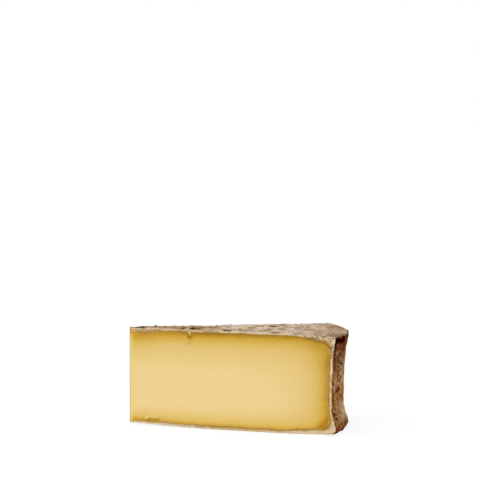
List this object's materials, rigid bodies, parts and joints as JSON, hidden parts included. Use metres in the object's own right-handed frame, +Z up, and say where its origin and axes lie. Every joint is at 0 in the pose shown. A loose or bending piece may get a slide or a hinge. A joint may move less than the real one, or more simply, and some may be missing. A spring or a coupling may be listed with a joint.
{
  "type": "beaufort cheese",
  "caption": "Wedge of hard alpine cheese cut from a wheel: pale paste, brown washed rind, hollow heel.",
  "frame": {"origin": "centre of the wedge's box, on the surface that it lies on", "axes": "+X from the tip to the heel, +Y away from the cut face that has the slit, +Z up through the wheel's height"},
  "size_m": [0.3006, 0.2192, 0.1356],
  "materials": {
    "cheese": "satin"
  },
  "bodies": {
    "root": {"cheese": "cheese"}
  },
  "joints": []
}
